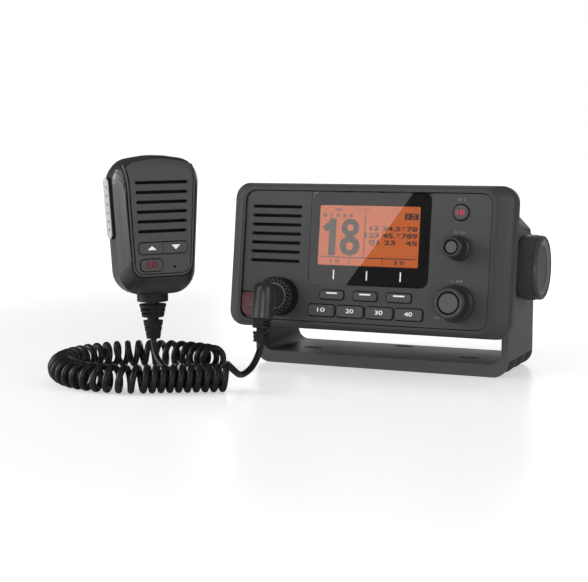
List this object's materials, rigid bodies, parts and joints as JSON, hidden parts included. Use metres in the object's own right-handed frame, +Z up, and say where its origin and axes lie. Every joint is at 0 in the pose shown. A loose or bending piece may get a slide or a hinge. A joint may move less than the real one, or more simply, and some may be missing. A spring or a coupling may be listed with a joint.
{
  "type": "vhf marine radio",
  "caption": "Fixed-mount marine radio on a tilting trunnion bracket, with a fist microphone on a curly cord plugged into its front panel.",
  "frame": {"origin": "middle of the line between the bracket's two front screw slots, on the underside of its base", "axes": "+X to the radio's right as its user faces it, +Y towards its back, +Z up along the mounting screws"},
  "size_m": [0.2517, 0.2297, 0.1246],
  "materials": {
    "housing_black": "fine grained moulding",
    "panel_grey": "satin moulding",
    "chassis_black": "powder-coated die casting",
    "knob_black": "satin moulding",
    "cap_grey": "semi-gloss disc",
    "key_grey": "satin key cap with plain white marks",
    "flap_red": "semi-gloss dark red",
    "lens_black": "polished window",
    "lcd_orange": "lit display behind the window",
    "board_green": "lacquered board",
    "driver_grey": "pressed frame and magnet",
    "mesh_black": "woven dust cloth",
    "membrane_grey": "moulded silicone",
    "rubber_black": "moulded rubber",
    "connector_black": "hard black moulding",
    "cord_black": "soft cord sheath",
    "mic_black": "fine grained moulding",
    "ptt_grey": "light grey soft-touch bar",
    "steel": "bright",
    "plated_brass": "nickel plated",
    "plunger_cream": "natural acetal"
  },
  "bodies": {
    "base": {"bracket": "housing_black", "mic_front_case": "mic_black", "mic_rear_case": "mic_black", "mic_panel": "panel_grey", "mic_speaker": "driver_grey", "mic_element": "steel", "mic_board": "board_green", "mic_screws": "steel", "hangup_stud": "connector_black", "mic_strain_relief": "rubber_black", "cord_lead_mic": "cord_black", "curly_cord": "cord_black", "cord_lead_plug": "cord_black"},
    "radio": {"tilt_washers": "rubber_black", "front_housing": "housing_black", "front_panel": "panel_grey", "display_lens": "lens_black", "display_panel": "lcd_orange", "front_board": "board_green", "speaker": "driver_grey", "speaker_mesh": "mesh_black", "key_membrane": "membrane_grey", "volume_encoder": "steel", "select_encoder": "steel", "mic_socket": "connector_black", "housing_gasket": "rubber_black", "rear_chassis": "chassis_black", "main_board": "board_green", "antenna_socket": "plated_brass", "data_socket": "connector_black", "power_gland": "rubber_black", "housing_screws": "steel", "flap_hinge_pin": "steel", "plug_elbow": "connector_black", "plug_strain_relief": "rubber_black"},
    "tilt_stud_left": {"tilt_stud_left": "steel"},
    "tilt_knob_left": {"tilt_knob_left": "knob_black"},
    "tilt_stud_right": {"tilt_stud_right": "steel"},
    "tilt_knob_right": {"tilt_knob_right": "knob_black"},
    "volume_plunger": {"volume_plunger": "plunger_cream"},
    "select_plunger": {"select_plunger": "plunger_cream"},
    "power_key": {"power_key": "key_grey"},
    "soft_key_1": {"soft_key_1": "key_grey"},
    "soft_key_2": {"soft_key_2": "key_grey"},
    "soft_key_3": {"soft_key_3": "key_grey"},
    "menu_key_1": {"menu_key_1": "key_grey"},
    "menu_key_2": {"menu_key_2": "key_grey"},
    "menu_key_3": {"menu_key_3": "key_grey"},
    "menu_key_4": {"menu_key_4": "key_grey"},
    "distress_flap": {"distress_flap": "flap_red"},
    "distress_key": {"distress_key": "flap_red"},
    "coupling_ring": {"coupling_ring": "connector_black"},
    "ptt_bar": {"ptt_bar": "ptt_grey"},
    "up_key": {"up_key": "key_grey"},
    "down_key": {"down_key": "key_grey"},
    "channel_key": {"channel_key": "key_grey"},
    "volume_knob": {"volume_knob": "knob_black", "volume_cap": "cap_grey"},
    "select_knob": {"select_knob": "knob_black", "select_cap": "cap_grey"}
  },
  "joints": [
    {"name": "radio_tilt", "type": "hinge", "parent": "base", "child": "radio", "pos_m": [0, 0.0065, 0.0606], "axis": [1, 0, 0], "range_deg": [-16, 8], "deforming": ["cord_lead_plug"]},
    {"name": "tilt_screw_travel_left", "type": "slide", "parent": "radio", "child": "tilt_stud_left", "axis": [-1, 0, 0], "range_m": [0, 0.002]},
    {"name": "tilt_knob_turn_left", "type": "hinge", "parent": "tilt_stud_left", "child": "tilt_knob_left", "pos_m": [-0.0845, 0.0065, 0.0606], "axis": [-1, 0, 0], "range_deg": [0, 720]},
    {"name": "tilt_screw_travel_right", "type": "slide", "parent": "radio", "child": "tilt_stud_right", "axis": [1, 0, 0], "range_m": [0, 0.002]},
    {"name": "tilt_knob_turn_right", "type": "hinge", "parent": "tilt_stud_right", "child": "tilt_knob_right", "pos_m": [0.0845, 0.0065, 0.0606], "axis": [1, 0, 0], "range_deg": [0, 720]},
    {"name": "volume_push", "type": "slide", "parent": "radio", "child": "volume_plunger", "axis": [0, 0.9914, -0.1305], "range_m": [0, 0.0005], "stiffness_N_per_m": 800, "springref_m": -0.0005},
    {"name": "volume_turn", "type": "hinge", "parent": "volume_plunger", "child": "volume_knob", "pos_m": [0.0562, -0.05312, 0.07511], "axis": [0, -0.9914, 0.1305], "continuous": true},
    {"name": "select_push", "type": "slide", "parent": "radio", "child": "select_plunger", "axis": [0, 0.9914, -0.1305], "range_m": [0, 0.0005], "stiffness_N_per_m": 800, "springref_m": -0.0005},
    {"name": "select_turn", "type": "hinge", "parent": "select_plunger", "child": "select_knob", "pos_m": [0.0562, -0.05705, 0.04526], "axis": [0, -0.9914, 0.1305], "continuous": true},
    {"name": "power_key_press", "type": "slide", "parent": "radio", "child": "power_key", "axis": [0, 0.9914, -0.1305], "range_m": [0, 0.0007], "stiffness_N_per_m": 800, "springref_m": -0.0005},
    {"name": "soft_key_1_press", "type": "slide", "parent": "radio", "child": "soft_key_1", "axis": [0, 0.9914, -0.1305], "range_m": [0, 0.0007], "stiffness_N_per_m": 800, "springref_m": -0.0005},
    {"name": "soft_key_2_press", "type": "slide", "parent": "radio", "child": "soft_key_2", "axis": [0, 0.9914, -0.1305], "range_m": [0, 0.0007], "stiffness_N_per_m": 800, "springref_m": -0.0005},
    {"name": "soft_key_3_press", "type": "slide", "parent": "radio", "child": "soft_key_3", "axis": [0, 0.9914, -0.1305], "range_m": [0, 0.0007], "stiffness_N_per_m": 800, "springref_m": -0.0005},
    {"name": "menu_key_1_press", "type": "slide", "parent": "radio", "child": "menu_key_1", "axis": [0, 0.9914, -0.1305], "range_m": [0, 0.0007], "stiffness_N_per_m": 800, "springref_m": -0.0005},
    {"name": "menu_key_2_press", "type": "slide", "parent": "radio", "child": "menu_key_2", "axis": [0, 0.9914, -0.1305], "range_m": [0, 0.0007], "stiffness_N_per_m": 800, "springref_m": -0.0005},
    {"name": "menu_key_3_press", "type": "slide", "parent": "radio", "child": "menu_key_3", "axis": [0, 0.9914, -0.1305], "range_m": [0, 0.0007], "stiffness_N_per_m": 800, "springref_m": -0.0005},
    {"name": "menu_key_4_press", "type": "slide", "parent": "radio", "child": "menu_key_4", "axis": [0, 0.9914, -0.1305], "range_m": [0, 0.0007], "stiffness_N_per_m": 800, "springref_m": -0.0005},
    {"name": "distress_key_press", "type": "slide", "parent": "radio", "child": "distress_key", "axis": [0, 0.9914, -0.1305], "range_m": [0, 0.0007], "stiffness_N_per_m": 800, "springref_m": -0.0005},
    {"name": "distress_flap_lift", "type": "hinge", "parent": "radio", "child": "distress_flap", "pos_m": [-0.0669, -0.04792, 0.04406], "axis": [-1, 0, 0], "range_deg": [0, 100], "stiffness_Nm_per_rad": 0.002, "springref_deg": -20.05},
    {"name": "coupling_ring_turn", "type": "hinge", "parent": "radio", "child": "coupling_ring", "pos_m": [-0.0485, -0.05418, 0.04408], "axis": [0, -0.9914, 0.1305], "range_deg": [0, 360]},
    {"name": "ptt_press", "type": "slide", "parent": "base", "child": "ptt_bar", "axis": [0.6143, 0.7862, 0.0675], "range_m": [0, 0.002], "stiffness_N_per_m": 900, "springref_m": -0.001},
    {"name": "up_key_press", "type": "slide", "parent": "base", "child": "up_key", "axis": [-0.788, 0.6157, 0], "range_m": [0, 0.0004], "stiffness_N_per_m": 800, "springref_m": -0.0005},
    {"name": "down_key_press", "type": "slide", "parent": "base", "child": "down_key", "axis": [-0.788, 0.6157, 0], "range_m": [0, 0.0004], "stiffness_N_per_m": 800, "springref_m": -0.0005},
    {"name": "channel_key_press", "type": "slide", "parent": "base", "child": "channel_key", "axis": [-0.788, 0.6157, 0], "range_m": [0, 0.0004], "stiffness_N_per_m": 800, "springref_m": -0.0005}
  ],
  "couplings": [
    {"joint": "tilt_knob_turn_left", "follows": "tilt_screw_travel_left", "rad_per_m": 6283.1},
    {"joint": "tilt_knob_turn_right", "follows": "tilt_screw_travel_right", "rad_per_m": 6283.1}
  ]
}
